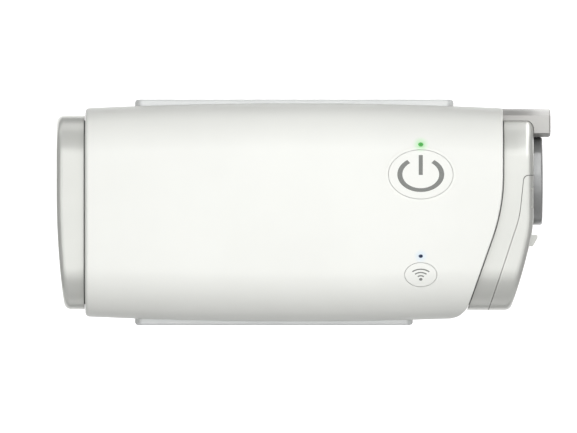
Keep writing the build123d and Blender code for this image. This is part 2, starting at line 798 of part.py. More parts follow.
with BuildPart() as blower_mounts:
    with BuildSketch(Plane.XY.offset(floor_z)):
        with Locations(*ear_spots):
            Circle(mount_radius)
    mount_top_z = middle_z - 2 * duct_wall
    extrude(amount=mount_top_z - floor_z)
    with BuildSketch(Plane.XY.offset((floor_z + mount_top_z) / 2)):
        with Locations(*ear_spots):
            Circle(2 * mount_radius)
            Circle(mount_radius - mount_waist, mode=Mode.SUBTRACT)
    extrude(amount=mount_radius / 2, both=True, mode=Mode.SUBTRACT)
    add(casing_inner, mode=Mode.INTERSECT)
    add(volute_lower.part, mode=Mode.SUBTRACT)
blower_mounts.part.label = "blower_mounts"
export_step(blower_mounts.part, "parts/blower_mounts.step")

with BuildPart() as motor_cover:
    add(blower_disc(motor_radius, motor_low_z - motor_wall, motor_low_z))
    add(blower_disc(bearing_radius + motor_wall, motor_low_z, lower_bearing_z + bearing_height))
    add(blower_disc(bearing_radius, lower_bearing_z, stator_low_z), mode=Mode.SUBTRACT)
motor_cover.part.label = "motor_cover"
export_step(motor_cover.part, "parts/motor_cover.step")

with BuildPart() as shaft_bearings:
    for low_z in (lower_bearing_z, upper_bearing_z):
        add(blower_disc(bearing_radius, low_z, low_z + bearing_height, shaft_radius + running))
shaft_bearings.part.label = "shaft_bearings"
export_step(shaft_bearings.part, "parts/shaft_bearings.step")

impeller_low_z = middle_z - duct_radius + 2 * clear
with BuildPart() as rotor_shaft:
    add(blower_disc(shaft_radius, lower_bearing_z + fit, impeller_low_z + blade_height / 2))
rotor_shaft.part.label = "rotor_shaft"
export_step(rotor_shaft.part, "parts/rotor_shaft.step")

with BuildPart() as rotor_magnet:
    add(blower_disc(magnet_radius, stator_low_z, stator_low_z + stator_height, shaft_radius))
rotor_magnet.part.label = "rotor_magnet"
export_step(rotor_magnet.part, "parts/rotor_magnet.step")

with BuildSketch() as blade:
    # one backward-curved blade
    with BuildLine():
        blade_tip = impeller_radius - blade_reach
        outer = ThreePointArc((hub_radius - blade_root, 0), (blade_tip / 2, blade_tip / 5), (blade_tip, 0))
        ThreePointArc(outer @ 1, (blade_tip / 2, blade_tip / 8), outer @ 0)
    make_face()

with BuildPart() as impeller:
    plate_top_z = impeller_low_z + impeller_plate
    add(blower_disc(impeller_radius, impeller_low_z, plate_top_z))
    add(blower_disc(hub_radius, impeller_low_z, plate_top_z + blade_height / 2))
    with BuildSketch(Plane((blower_x, blower_y, plate_top_z))):
        with PolarLocations(0, blade_count):
            add(blade.sketch)
    extrude(amount=blade_height - impeller_plate)
    add(blower_disc(shaft_radius, 0, impeller_low_z + blade_height / 2), mode=Mode.SUBTRACT)
impeller.part.label = "impeller"
export_step(impeller.part, "parts/impeller.step")

tooth_length = stator_radius - motor_wall - magnet_radius - clear
tooth_middle = magnet_radius + clear + tooth_length / 2
with BuildPart() as stator_core:
    with BuildSketch(Plane.XY.offset(stator_low_z)):
        with Locations((blower_x, blower_y)):
            Circle(stator_radius + clear)
            Circle(stator_radius - motor_wall, mode=Mode.SUBTRACT)
            with PolarLocations(tooth_middle + clear / 2, tooth_count):
                Rectangle(tooth_length, motor_wall)
    extrude(amount=stator_height)
stator_core.part.label = "stator_core"
export_step(stator_core.part, "parts/stator_core.step")

with BuildPart() as stator_coils:
    coil_length = tooth_length - 2 * motor_wall
    with Locations(Location((blower_x, blower_y, stator_low_z + stator_height / 2))):
        with PolarLocations(tooth_middle + motor_wall / 2, tooth_count):
            Box(coil_length, 3 * motor_wall, stator_height + motor_wall)
    add(stator_core.part, mode=Mode.SUBTRACT)
stator_coils.part.label = "stator_coils"
export_step(stator_coils.part, "parts/stator_coils.step")

motor_board_z = motor_low_z + motor_wall
with BuildPart() as motor_board:
    add(blower_disc(stator_radius + clear, motor_board_z, motor_board_z + motor_board_thickness,
                    bearing_radius + motor_wall + fit))
motor_board.part.label = "motor_board"
export_step(motor_board.part, "parts/motor_board.step")

# ---------------------------------------------------------------- air outlet
port_flange_x = seam_x - 2 * casing_wall - frame_plate - port_flange - port_seat_gap
socket_x = outlet_tip_x - outlet_bore_length
port_start_x = port_flange_x - spigot_length
sensor_x = port_flange_x - tap_setback
port_radius = outlet_bore_radius + outlet_wall
with BuildPart() as outlet_port:
    add(duct_round(port_radius, port_flange_x, outlet_tip_x))
    add(duct_round(port_flange_radius, port_flange_x, port_flange_x + port_flange))
    add(duct_round(duct_radius + duct_wall, port_start_x, port_flange_x))
    add(duct_round(outlet_bore_radius, socket_x, outlet_tip_x + cut_over), mode=Mode.SUBTRACT)
    seat_x = socket_x - seal_thickness
    add(duct_round(outlet_bore_radius - seal_step, seat_x, outlet_tip_x), mode=Mode.SUBTRACT)
    add(duct_round(duct_radius, port_start_x - cut_over, outlet_tip_x), mode=Mode.SUBTRACT)
    # pressure tap below the sensor
    with BuildSketch(Plane.XY.offset(middle_z)):
        with Locations((sensor_x, outlet_y)):
            Circle(tap_radius)
    extrude(amount=2 * duct_radius, mode=Mode.SUBTRACT)
outlet_port.part.label = "outlet_port"
export_step(outlet_port.part, "parts/outlet_port.step")

with BuildPart() as outlet_seal:
    seal_radius = outlet_bore_radius - seal_step - fit / 2
    add(duct_round(seal_radius, seat_x, socket_x))
    add(duct_round(seal_radius - seal_width, 0, outlet_tip_x), mode=Mode.SUBTRACT)
outlet_seal.part.label = "outlet_seal"
export_step(outlet_seal.part, "parts/outlet_seal.step")

mesh_x = port_flange_x + port_flange
with BuildPart() as flow_mesh:
    add(duct_round(duct_radius - fit / 2, mesh_x, mesh_x + seal_thickness))
    cell = duct_radius / (mesh_cells - 1)
    with BuildSketch(Plane.YZ.offset(mesh_x - cut_over)):
        with Locations((outlet_y, middle_z)):
            with GridLocations(cell, cell, mesh_cells, mesh_cells):
                Rectangle(mesh_open * cell, mesh_open * cell)
    extrude(amount=seal_thickness + 2 * cut_over, mode=Mode.SUBTRACT)
flow_mesh.part.label = "flow_mesh"
export_step(flow_mesh.part, "parts/flow_mesh.step")

bellows_start_x = chamber_end_x + duct_wall + fit
bellows_end_x = port_start_x + bellows_overlap
bellows_bore = duct_radius + duct_wall + fit / 2
fold_step = (port_start_x - tube_end_x) / (2 * fold_count)
with BuildPart() as outlet_bellows:
    with BuildSketch(Plane.XY.offset(middle_z)):
        with BuildLine():
            inner_line = [(bellows_start_x, bellows_bore), (tube_end_x, bellows_bore)]
            inner_line += [
                (tube_end_x + fold_step * i, bellows_bore + (fold_step / 3 if i % 2 else 0))
                for i in range(1, 2 * fold_count)
            ]
            inner_line += [(port_start_x, bellows_bore), (bellows_end_x, bellows_bore)]
            outer_line = [(x, r + bellows_wall) for x, r in reversed(inner_line)]
            Polyline(*[(x, outlet_y + r) for x, r in inner_line + outer_line], close=True)
        make_face()
    revolve(axis=Axis((0, outlet_y, middle_z), (1, 0, 0)))
outlet_bellows.part.label = "outlet_bellows"
export_step(outlet_bellows.part, "parts/outlet_bellows.step")

# ---------------------------------------------------------------- outlet end
frame_shift = -casing_wall - fit
with BuildPart() as outlet_frame:
    # flange behind the casing's end wall
    add(casing_block(casing_wall + fit))
    add(seam_prism(frame_shift - frame_plate), mode=Mode.SUBTRACT)
    # neck that the outlet end sits on
    neck = cap_block(cap_wall + fit, frame_shift - frame_plate / 2)
    neck_hollow = cap_block(cap_wall + fit + neck_wall, frame_shift)
    add(neck)
    add(neck_hollow, mode=Mode.SUBTRACT)
    add(seam_prism(neck_reach), mode=Mode.INTERSECT)
    add(duct_round(port_radius + fit, 0, far), mode=Mode.SUBTRACT)
    # way through for the power lead
    lead_y = cap_rear_y - cap_wall - fit - neck_wall - clear - lead_radius
    with BuildSketch(Plane.YZ.offset(port_flange_x)):
        with Locations((lead_y, middle_z)):
            Circle(lead_radius + clear)
    extrude(amount=casing_length / 4, mode=Mode.SUBTRACT)
outlet_frame.part.label = "outlet_frame"
export_step(outlet_frame.part, "parts/outlet_frame.step")


def panel_prism(shift):
    # everything behind the parting line of the face panel, moved along X
    corner_x = cap_face_x - panel_inset + shift
    knee_x = corner_x - panel_knee_shift
    low_x = knee_x - (panel_knee_y + casing_half_width) * tan(radians(panel_slant))
    with BuildPart() as prism:
        with BuildSketch(Plane.XY.offset(-overall_height)):
            with BuildLine():
                line = FilletPolyline((far, panel_top_y - shift), (corner_x, panel_top_y - shift),
                                      (knee_x, panel_knee_y), (low_x, -casing_half_width),
                                      radius=(panel_corner_radius, panel_knee_radius))
                Polyline(line @ 1, (far, -casing_half_width), line @ 0)
            make_face()
        extrude(amount=3 * overall_height)
    return prism.part


with BuildPart() as cap_shell:
    add(cap_outer)
    add(cap_inner, mode=Mode.SUBTRACT)
    add(duct_round(port_radius + fit, 0, far), mode=Mode.SUBTRACT)

with BuildPart() as outlet_face_panel:
    add(cap_shell.part)
    add(panel_prism(panel_gap / 2), mode=Mode.INTERSECT)
    with Locations(*[(cap_face_x, y, end_high_z - cap_rim) for y in notch_spots]):
        Box(2 * notch_depth, notch_width, 2 * cap_rim, mode=Mode.SUBTRACT)
outlet_face_panel.part.label = "outlet_face_panel"
export_step(outlet_face_panel.part, "parts/outlet_face_panel.step")

tail_y = power_block_y + tail_inset
tail_x = cap_face_x - cap_wall
with BuildPart() as outlet_end_cap:
    add(cap_shell.part)
    add(panel_prism(-panel_gap / 2), mode=Mode.SUBTRACT)
    # slot for the power inlet's tail
    with Locations((cap_face_x, tail_y + tail_width / 2, middle_z)):
        Box(3 * cap_wall, tail_width + 2 * fit, power_slot_height / 2 + 2 * fit, mode=Mode.SUBTRACT)
outlet_end_cap.part.label = "outlet_end_cap"
export_step(outlet_end_cap.part, "parts/outlet_end_cap.step")

with BuildPart() as outlet_collar:
    add(duct_round(collar_radius, cap_face_x - cap_wall / 2, outlet_tip_x))
    fillet(outlet_collar.edges().sort_by(Axis.X)[-1], radius=collar_rim)
    add(duct_round(port_radius + fit / 2, 0, far), mode=Mode.SUBTRACT)
    add(cap_outer, mode=Mode.SUBTRACT)
outlet_collar.part.label = "outlet_collar"
export_step(outlet_collar.part, "parts/outlet_collar.step")

with BuildPart() as cuff_catch:
    # wedge with an upright rear side and a sloping front side
    catch_x = cap_face_x + catch_proud
    catch_low_y = catch_high_y - catch_width
    with BuildSketch(Plane.XY.offset(middle_z - catch_height / 2)):
        with BuildLine():
            Polyline((catch_x, catch_high_y), (catch_x, catch_high_y - catch_flat),
                     (catch_x - catch_slope, catch_low_y), (cap_face_x - catch_root, catch_low_y),
                     (cap_face_x - catch_root, catch_high_y), close=True)
        make_face()
    extrude(amount=catch_height)
    fillet(cuff_catch.edges().filter_by(Axis.Z).sort_by(Axis.X)[-2:], radius=catch_round)
    add(cap_outer, mode=Mode.SUBTRACT)
cuff_catch.part.label = "cuff_catch"
export_step(cuff_catch.part, "parts/cuff_catch.step")

# ---------------------------------------------------------------- power inlet
power_face_x = overall_length / 2
slot_y = (power_block_y + power_rear_y) / 2
slot_floor_x = cap_face_x + slot_floor_depth
with BuildPart() as power_inlet_housing:
    # strip along the outlet end, and the block that stands out beyond the end face
    with BuildSketch(Plane.XY.offset(middle_z - power_height / 2)):
        with BuildLine():
            strip_y = cap_rear_y - cap_shoulder / 2
            Polyline((seam_x, power_rear_y), (power_face_x, power_rear_y), (power_face_x, power_block_y),
                     (cap_face_x - cap_wall, power_block_y), (cap_face_x - cap_wall, strip_y),
                     (seam_x, strip_y), close=True)
        make_face()
    extrude(amount=power_height)
    # the rear edges fall away in two facets, one slanting and one steep, and the front edges in one
    for side in (-1, 1):
        edge_z = middle_z + side * power_height / 2
        with BuildSketch(Plane.YZ.offset(seam_x)):
            with BuildLine():
                steep_y = power_rear_y - power_facet_steep
                slant_z = edge_z - side * power_slant_drop
                Polyline((power_rear_y, edge_z), (steep_y - power_facet_slant, edge_z), (steep_y, slant_z),
                         (power_rear_y, slant_z - side * power_steep_drop), close=True)
            make_face()
            with BuildLine():
                Polyline((power_block_y, edge_z), (power_block_y + power_front_slant, edge_z),
                         (power_block_y, edge_z - side * power_front_drop), close=True)
            make_face()
        extrude(amount=far, mode=Mode.SUBTRACT)
    tip = power_inlet_housing.faces().sort_by(Axis.X)[-1]
    fillet(tip.edges(), radius=power_rim)
    add(casing_block(-fit), mode=Mode.SUBTRACT)
    add(cap_block(-power_groove, 0, cap_rim), mode=Mode.SUBTRACT)
    with BuildSketch(Plane.YZ.offset(cap_face_x - cap_wall)):
        with Locations((slot_y, middle_z)):
            RectangleRounded(power_slot_width, power_slot_height, power_slot_round)
    extrude(amount=far, mode=Mode.SUBTRACT)
power_inlet_housing.part.label = "power_inlet_housing"
export_step(power_inlet_housing.part, "parts/power_inlet_housing.step")

with BuildPart() as power_inlet_insert:
    with BuildSketch(Plane.YZ.offset(cap_face_x + fit)):
        with Locations((slot_y, middle_z)):
            RectangleRounded(power_slot_width - fit, power_slot_height - fit, power_slot_round - fit)
    extrude(amount=slot_floor_x - cap_face_x - fit)
    with Locations((cap_face_x - cap_wall / 2 + fit, tail_y + tail_width / 2, middle_z)):
        Box(cap_wall + 2 * fit, tail_width, power_slot_height / 2)
    # terminal behind the end wall, where the lead starts
    terminal_low_y = lead_y - lead_radius
    with Locations((tail_x - terminal_depth / 2, (terminal_low_y + tail_y + tail_width) / 2, middle_z)):
        Box(terminal_depth, tail_y + tail_width - terminal_low_y, power_slot_height / 2)
power_inlet_insert.part.label = "power_inlet_insert"
export_step(power_inlet_insert.part, "parts/power_inlet_insert.step")

with BuildPart() as power_contacts:
    with BuildSketch(Plane.YZ.offset(slot_floor_x)):
        with Locations((slot_y, middle_z)):
            with GridLocations(0, contact_spacing, 1, 3):
                Circle(contact_radius)
    extrude(amount=contact_proud)
power_contacts.part.label = "power_contacts"
export_step(power_contacts.part, "parts/power_contacts.step")

# ---------------------------------------------------------------- main board
plug_spots = [(board_x + power_plug_x, pillar_y), (board_x + motor_plug_x, blower_y)]
plug_low_z = board_low_z - plug_size[2]
with BuildPart() as main_board:
    with Locations((board_x, 0, (board_top_z + board_low_z) / 2)):
        Box(board_length, board_width, board_thickness)
    fillet(main_board.edges().filter_by(Axis.Z), radius=pillar_radius)
    with BuildSketch(Plane.XY.offset(board_low_z)):
        with Locations(*pillar_spots):
            Circle(board_screw_radius + fit)
    extrude(amount=board_thickness, mode=Mode.SUBTRACT)
main_board.part.label = "main_board"
export_step(main_board.part, "parts/main_board.step")

with BuildPart() as board_screws:
    with BuildSketch(Plane.XY.offset(board_low_z)):
        with Locations(*pillar_spots):
            Circle(2 * board_screw_radius)
    extrude(amount=-board_screw_radius)
    with BuildSketch(Plane.XY.offset(board_low_z)):
        with Locations(*pillar_spots):
            Circle(board_screw_radius)
    extrude(amount=board_thickness + pillar_radius)
board_screws.part.label = "board_screws"
export_step(board_screws.part, "parts/board_screws.step")


def on_board(x, y, size):
    # box that stands on the board
    with BuildPart() as piece:
        with Locations((x, y, board_top_z + size[2] / 2)):
            Box(*size)
    return piece.part


chip_x = board_x - board_length / 2 + chip_margin + processor_size[0] / 2
radio_y = pillar_radius - pillar_y + radio_gap + radio_size[1] / 2
chip_y = radio_y + radio_size[1] / 2 + chip_gap + processor_size[1] / 2
driver_y = chip_y + processor_size[1] / 2 + chip_gap + driver_size[1] / 2
memory_x = chip_x + processor_size[0] / 2 + chip_gap + memory_size[0] / 2
with BuildPart() as board_chips:
    add(on_board(chip_x, chip_y, processor_size))
    add(on_board(chip_x, driver_y, driver_size))
    add(on_board(memory_x, chip_y, memory_size))
board_chips.part.label = "board_chips"
export_step(board_chips.part, "parts/board_chips.step")

with BuildPart() as radio_module:
    add(on_board(board_x - board_length / 2 + chip_margin + radio_size[0] / 2, radio_y, radio_size))
    fillet(radio_module.edges().filter_by(Axis.Z), radius=radio_round)
radio_module.part.label = "radio_module"
export_step(radio_module.part, "parts/radio_module.step")

capacitor_x = board_x + power_plug_x
capacitor_y = capacitor_inset - pillar_y
with BuildPart() as board_capacitors:
    with BuildSketch(Plane.XY.offset(board_low_z)):
        with Locations((capacitor_x - capacitor_spacing, capacitor_y), (capacitor_x, capacitor_y),
                       (capacitor_x, capacitor_y - capacitor_spacing)):
            Circle(capacitor_radius)
    extrude(amount=-capacitor_height)
board_capacitors.part.label = "board_capacitors"
export_step(board_capacitors.part, "parts/board_capacitors.step")

with BuildPart() as board_connectors:
    with BuildSketch(Plane.XY.offset(board_low_z)):
        with Locations(*plug_spots):
            Rectangle(plug_size[0], plug_size[1])
    extrude(amount=-plug_size[2])
board_connectors.part.label = "board_connectors"
export_step(board_connectors.part, "parts/board_connectors.step")

sensor_low_z = middle_z + duct_radius + duct_wall + sensor_seal_height
with BuildPart() as pressure_sensor:
    with Locations((sensor_x, outlet_y, (board_low_z + sensor_low_z) / 2)):
        Box(sensor_side, sensor_side, board_low_z - sensor_low_z)
    with BuildSketch(Plane.XY.offset(sensor_low_z)):
        with Locations((sensor_x, outlet_y)):
            Circle(tap_radius)
    extrude(amount=2 * tap_radius, mode=Mode.SUBTRACT)
pressure_sensor.part.label = "pressure_sensor"
export_step(pressure_sensor.part, "parts/pressure_sensor.step")

with BuildPart() as sensor_seal:
    with BuildSketch(Plane.XY.offset(middle_z)):
        with Locations((sensor_x, outlet_y)):
            Circle(sensor_seal_radius)
            Circle(tap_radius, mode=Mode.SUBTRACT)
    extrude(amount=sensor_low_z - middle_z)
    add(duct_round(duct_radius + duct_wall, 0, far), mode=Mode.SUBTRACT)
sensor_seal.part.label = "sensor_seal"
export_step(sensor_seal.part, "parts/sensor_seal.step")

# ---------------------------------------------------------------- leads
flat_lead_z = motor_board_z + motor_board_thickness + flat_lead_thickness
with BuildPart() as motor_lead:
    with BuildSketch(Plane.XZ.offset(-blower_y - flat_lead_width / 2)):
        with BuildLine():
            rise_x = plug_spots[1][0]
            FilletPolyline((blower_x + stator_radius - motor_wall, flat_lead_z),
                           (rise_x - flat_lead_run, flat_lead_z),
                           (rise_x, middle_z), (rise_x, plug_low_z), radius=lead_bend)
        trace(line_width=flat_lead_thickness)
    extrude(amount=flat_lead_width)
motor_lead.part.label = "motor_lead"
export_step(motor_lead.part, "parts/motor_lead.step")

with BuildPart() as power_lead:
    plug_x, plug_y = plug_spots[0]
    with BuildLine() as lead_path:
        FilletPolyline((tail_x - terminal_depth, lead_y, middle_z), (plug_x + lead_run, lead_y, middle_z),
                       (plug_x, plug_y, middle_z + lead_rise), (plug_x, plug_y, plug_low_z),
                       radius=lead_bend)
    with BuildSketch(Plane(origin=lead_path.line @ 0, z_dir=lead_path.line % 0)):
        Circle(lead_radius)
    sweep()
power_lead.part.label = "power_lead"
export_step(power_lead.part, "parts/power_lead.step")


# ---------------------------------------------------------------- controls
def tact_switch(y):
    # switch body with a well for its stem
    with BuildPart() as switch:
        with Locations((controls_x, y, board_top_z + switch_height / 2)):
            Box(switch_side, switch_side, switch_height)
        with BuildSketch(Plane.XY.offset(board_top_z + switch_height / 4)):
            with Locations((controls_x, y)):
                Circle(stem_radius + fit / 2)
        extrude(amount=switch_height, mode=Mode.SUBTRACT)
    return switch.part


def boss_low_z(y, size):
    return flange_top(y, size) - flange_thickness - boss_drop


def switch_stem(y, size, travel):
    # from the button's boss down into the switch's well, with room for the travel
    low_z = board_top_z + switch_height / 4 + travel + clear
    with BuildPart() as stem:
        with BuildSketch(Plane.XY.offset(low_z)):
            with Locations((controls_x, y)):
                Circle(stem_radius)
        extrude(amount=boss_low_z(y, size) - low_z)
    return stem.part


def push_button(y, size, top_inset):
    # oval cap that follows the casing's form, with a flange inside and a boss on the stem
    flange_z = flange_top(y, size)
    with BuildPart() as button:
        add(button_prism(y, size, -button_gap, flange_z - flange_thickness, overall_height))
        add(casing_block(top_inset), mode=Mode.INTERSECT)
        add(button_prism(y, size, button_flange, flange_z - flange_thickness, flange_z))
        with BuildSketch(Plane.XY.offset(boss_low_z(y, size))):
            with Locations((controls_x, y)):
                Circle(2 * stem_radius)
        extrude(amount=flange_thickness)
    return button.part


with BuildPart() as power_button:
    add(push_button(power_button_y, power_button_size, dish_depth - fit))
power_button.part.label = "power_button"
export_step(power_button.part, "parts/power_button.step")

with BuildPart() as connect_button:
    add(push_button(connect_button_y, connect_button_size, fit))
connect_button.part.label = "connect_button"
export_step(connect_button.part, "parts/connect_button.step")

with BuildPart() as power_switch:
    add(tact_switch(power_button_y))
power_switch.part.label = "power_switch"
export_step(power_switch.part, "parts/power_switch.step")

with BuildPart() as connect_switch:
    add(tact_switch(connect_button_y))
connect_switch.part.label = "connect_switch"
export_step(connect_switch.part, "parts/connect_switch.step")

with BuildPart() as power_switch_stem:
    add(switch_stem(power_button_y, power_button_size, power_travel))
power_switch_stem.part.label = "power_switch_stem"
export_step(power_switch_stem.part, "parts/power_switch_stem.step")

with BuildPart() as connect_switch_stem:
    add(switch_stem(connect_button_y, connect_button_size, connect_travel))
connect_switch_stem.part.label = "connect_switch_stem"
export_step(connect_switch_stem.part, "parts/connect_switch_stem.step")


def light_pipe(y, size):
    with BuildPart() as pipe:
        add(button_prism(y, size, 0, board_top_z + lamp_chip_size[2] + lamp_pipe_gap, far))
        add(casing_outer, mode=Mode.INTERSECT)
    return pipe.part


with BuildPart() as power_led:
    add(on_board(controls_x, power_lamp_y, lamp_chip_size))
power_led.part.label = "power_led"
export_step(power_led.part, "parts/power_led.step")

with BuildPart() as connect_led:
    add(on_board(controls_x, connect_lamp_y, lamp_chip_size))
connect_led.part.label = "connect_led"
export_step(connect_led.part, "parts/connect_led.step")

with BuildPart() as power_light_pipe:
    add(light_pipe(power_lamp_y, power_lamp_size))
power_light_pipe.part.label = "power_light_pipe"
export_step(power_light_pipe.part, "parts/power_light_pipe.step")

with BuildPart() as connect_light_pipe:
    add(light_pipe(connect_lamp_y, connect_lamp_size))
connect_light_pipe.part.label = "connect_light_pipe"
export_step(connect_light_pipe.part, "parts/connect_light_pipe.step")
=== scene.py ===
import json
from math import cos, radians, sin

import bmesh
import bpy
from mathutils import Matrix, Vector
from mathutils.bvhtree import BVHTree

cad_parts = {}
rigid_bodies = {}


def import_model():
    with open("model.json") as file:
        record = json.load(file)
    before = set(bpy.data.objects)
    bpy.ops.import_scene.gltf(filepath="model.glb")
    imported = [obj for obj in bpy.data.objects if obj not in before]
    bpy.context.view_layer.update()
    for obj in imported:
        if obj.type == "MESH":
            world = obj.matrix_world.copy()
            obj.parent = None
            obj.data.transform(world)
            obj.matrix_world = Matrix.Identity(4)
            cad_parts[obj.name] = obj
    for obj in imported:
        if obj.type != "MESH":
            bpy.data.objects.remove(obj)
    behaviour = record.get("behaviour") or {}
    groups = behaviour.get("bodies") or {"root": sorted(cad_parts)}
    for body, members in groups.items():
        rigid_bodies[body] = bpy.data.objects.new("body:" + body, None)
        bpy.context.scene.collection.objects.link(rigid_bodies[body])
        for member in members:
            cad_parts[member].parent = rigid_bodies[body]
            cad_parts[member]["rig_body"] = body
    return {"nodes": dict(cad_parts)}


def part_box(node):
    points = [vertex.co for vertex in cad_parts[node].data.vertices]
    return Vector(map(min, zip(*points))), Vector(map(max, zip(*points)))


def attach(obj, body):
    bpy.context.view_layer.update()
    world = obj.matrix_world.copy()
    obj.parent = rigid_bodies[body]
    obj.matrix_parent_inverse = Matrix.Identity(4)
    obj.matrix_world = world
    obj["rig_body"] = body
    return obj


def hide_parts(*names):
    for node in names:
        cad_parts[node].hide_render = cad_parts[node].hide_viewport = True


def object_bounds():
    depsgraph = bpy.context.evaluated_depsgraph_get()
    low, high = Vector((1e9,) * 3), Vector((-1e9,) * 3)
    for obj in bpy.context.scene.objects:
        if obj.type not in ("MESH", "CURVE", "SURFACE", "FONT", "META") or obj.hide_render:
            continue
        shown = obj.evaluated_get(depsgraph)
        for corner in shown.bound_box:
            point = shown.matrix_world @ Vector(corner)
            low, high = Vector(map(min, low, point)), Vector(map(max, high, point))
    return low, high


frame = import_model()
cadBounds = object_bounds()
mm = 0.001

# camera: straight above the machine, rear edge at the top of the frame
cameraSetup = {
    "height": 6.0,           # metres above the middle of the casing, so that it is seen almost flat
    "sensor": 36.0,          # mm
    "frameWidth": 0.2126,    # metres seen across the frame at the casing's widest height
    "centre": (-0.00555, -0.00155),
    "sight": (0.1, 40),      # metres, nearest and furthest that the camera sees
}
middleZ = cadBounds[1][2] / 2
cameraData = bpy.data.cameras.new("studioCamera")
cameraData.sensor_width = cameraSetup["sensor"]
cameraData.lens = cameraSetup["sensor"] * cameraSetup["height"] / cameraSetup["frameWidth"]
cameraData.clip_start, cameraData.clip_end = cameraSetup["sight"]
camera = bpy.data.objects.new("studioCamera", cameraData)
camera.location = (*cameraSetup["centre"], cameraSetup["height"] + middleZ)
bpy.context.scene.collection.objects.link(camera)
bpy.context.scene.camera = camera
print("camera placed")


# materials
def hexColour(text):
    # sRGB hex to the linear colour the shaders expect
    parts = [int(text[i:i + 2], 16) / 255 for i in (0, 2, 4)]
    return (*[p / 12.92 if p <= 0.04045 else ((p + 0.055) / 1.055) ** 2.4 for p in parts], 1.0)


def addNode(tree, kind, settings=None, inputs=None, stops=()):
    # one node with its settings, its inputs as values or as sockets to link, and a ramp's stops
    node = tree.nodes.new(kind)
    for name, value in (settings or {}).items():
        setattr(node, name, value)
    for name, value in (inputs or {}).items():
        if isinstance(value, bpy.types.NodeSocket):
            tree.links.new(value, node.inputs[name])
        else:
            node.inputs[name].default_value = value
    for step, (position, colour) in enumerate(stops):
        node.color_ramp.elements[step].position = position
        node.color_ramp.elements[step].color = hexColour(colour)
    return node


def startMaterial(name, shader):
    # a material with the given values on its shader
    material = bpy.data.materials.new(name)
    material.use_nodes = True
    tree = material.node_tree
    principled = tree.nodes["Principled BSDF"]
    for socket, value in shader.items():
        principled.inputs[socket].default_value = value
    return material, tree, principled


noiseSpan = (0.3, 0.7)       # most of a noise texture's values lie between these


def grainedPlastic(name, look):
    # moulded or painted plastic: fine tool texture, faint flow marks, roughness that wanders a little
    material, tree, principled = startMaterial(name, look["shader"])
    place = addNode(tree, "ShaderNodeTexCoord").outputs["Object"]
    broad = addNode(tree, "ShaderNodeTexNoise", inputs={
        "Vector": place, "Scale": 1 / (look["markSize"] * mm), "Detail": 3.0, "Roughness": 0.55})
    colour = addNode(tree, "ShaderNodeValToRGB", inputs={"Fac": broad.outputs["Fac"]},
                     stops=zip(noiseSpan, look["colours"])).outputs["Color"]
    grain = addNode(tree, "ShaderNodeTexNoise", inputs={
        "Vector": place, "Scale": 1 / (look["grainSize"] * mm), "Detail": 2.0, "Roughness": 0.6})
    rough = addNode(tree, "ShaderNodeMapRange", inputs={
        "Value": grain.outputs["Fac"], "From Min": noiseSpan[0], "From Max": noiseSpan[1],
        "To Min": look["roughness"][0], "To Max": look["roughness"][1]})
    bump = addNode(tree, "ShaderNodeBump", inputs={
        "Height": grain.outputs["Fac"], "Strength": look["bump"], "Distance": look["grainDepth"] * mm})
    tree.links.new(rough.outputs["Result"], principled.inputs["Roughness"])
    tree.links.new(bump.outputs["Normal"], principled.inputs["Normal"])
    for glow in look.get("paintedGlows", []):
        # painted glow: lamp light painted into the wall's colour round a lamp, fading with the distance from
        # it
        away = addNode(tree, "ShaderNodeVectorMath", {"operation": "DISTANCE"}, {
            0: place, 1: glow["place"]})
        spread = addNode(tree, "ShaderNodeMapRange", {"interpolation_type": "SMOOTHSTEP"}, {
            "Value": away.outputs["Value"], "From Min": 0.0, "From Max": glow["radius"] * mm,
            "To Min": glow["strength"], "To Max": 0.0})
        # 6 and 7 are the two colour inputs, 2 the colour output
        mix = addNode(tree, "ShaderNodeMix", {"data_type": "RGBA"}, {
            "Factor": spread.outputs["Result"], 6: colour, 7: hexColour(glow["colour"])})
        colour = mix.outputs[2]
    tree.links.new(colour, principled.inputs["Base Color"])
    return material


def lampEnd(nodeName):
    # middle of a light pipe's upper end
    low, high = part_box(nodeName)
    middle = (low + high) / 2
    return Vector((middle.x, middle.y, high.z))


powerLampEnd = lampEnd("power_light_pipe")
connectLampEnd = lampEnd("connect_light_pipe")

whiteAbs = grainedPlastic("moulded_white_abs", {   # satin white shell, brightest where it faces the light
    "shader": {"IOR": 1.53, "Specular IOR Level": 0.5},
    "colours": ("F3F4EF", "F7F8F3"), "markSize": 45, "grainSize": 0.35,
    "roughness": (0.34, 0.44), "bump": 0.12, "grainDepth": 0.02,
    # painted glows: green and blue lamp light painted into the shell's colour round the two light pipes
    "paintedGlows": [
        {"place": powerLampEnd, "radius": 3.4, "strength": 0.75, "colour": "A9F2A4"},
        {"place": connectLampEnd, "radius": 3.0, "strength": 0.6, "colour": "CFE8FF"},
    ]})
gripTpe = grainedPlastic("moulded_grip_tpe", {     # softer, duller light grey with a visible grain
    "shader": {"IOR": 1.5, "Specular IOR Level": 0.4},
    "colours": ("E6E8E8", "ECEEED"), "markSize": 20, "grainSize": 0.5,
    "roughness": (0.5, 0.62), "bump": 0.3, "grainDepth": 0.04})
silverAbs = grainedPlastic("painted_silver_abs", { # warm silver-grey paint with a soft sheen
    "shader": {"IOR": 1.5, "Metallic": 0.5},
    "colours": ("DADBD6", "E0E1DC"), "markSize": 30, "grainSize": 0.3,
    "roughness": (0.28, 0.32), "bump": 0.03, "grainDepth": 0.02})
collarAbs = grainedPlastic("polished_grey_abs", {  # mid grey, glossier than the rest
    "shader": {"IOR": 1.53, "Metallic": 0.35},
    "colours": ("9D9E9E", "A4A5A5"), "markSize": 12, "grainSize": 0.25,
    "roughness": (0.2, 0.28), "bump": 0.05, "grainDepth": 0.01})
inletAbs = grainedPlastic("moulded_grey_abs", {    # flat grey of the power inlet
    "shader": {"IOR": 1.53, "Metallic": 0.3},
    "colours": ("AAA9A6", "B0AFAC"), "markSize": 12, "grainSize": 0.3,
    "roughness": (0.36, 0.46), "bump": 0.15, "grainDepth": 0.02})
